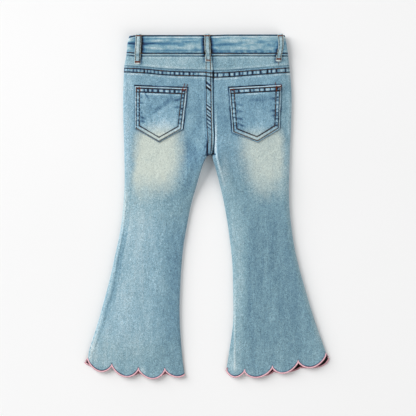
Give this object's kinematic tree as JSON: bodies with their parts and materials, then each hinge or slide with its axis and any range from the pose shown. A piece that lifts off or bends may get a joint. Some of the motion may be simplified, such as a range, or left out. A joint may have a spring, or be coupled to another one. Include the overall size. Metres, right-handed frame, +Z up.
{
  "type": "flared jeans, laid flat",
  "caption": "Child's flared denim jeans laid flat, back side up: gathered waistband, back yoke, patch pockets, belt loops and scalloped overlocked hems.",
  "frame": {"origin": "centre of the footprint of the jeans as they lie, on the surface under them", "axes": "+Y from the hems towards the waist, +Z up from the surface the jeans lie on (the back of the garment faces up), +X to the right of someone looking down at them with the waist away from them"},
  "size_m": [0.4244, 0.6064, 0.0146],
  "materials": {
    "denim": "washed stretch denim with cream fading, matte",
    "seam_thread": "dark brown topstitching thread",
    "bartack_thread": "rust-coloured bar tack thread",
    "edging_thread": "pink overlock thread",
    "button_metal": "antique brass, satin"
  },
  "bodies": {
    "root": {"waistband": "denim", "yoke_left": "denim", "yoke_right": "denim", "back_panel_left": "denim", "back_panel_right": "denim", "front_panel_left": "denim", "front_panel_right": "denim", "fly": "denim", "pocket_left": "denim", "pocket_right": "denim", "belt_loop_back_left": "denim", "belt_loop_back_centre": "denim", "belt_loop_back_right": "denim", "belt_loop_front_left": "denim", "belt_loop_front_right": "denim", "button": "button_metal", "hem_edging_left": "edging_thread", "hem_edging_right": "edging_thread"}
  },
  "joints": []
}
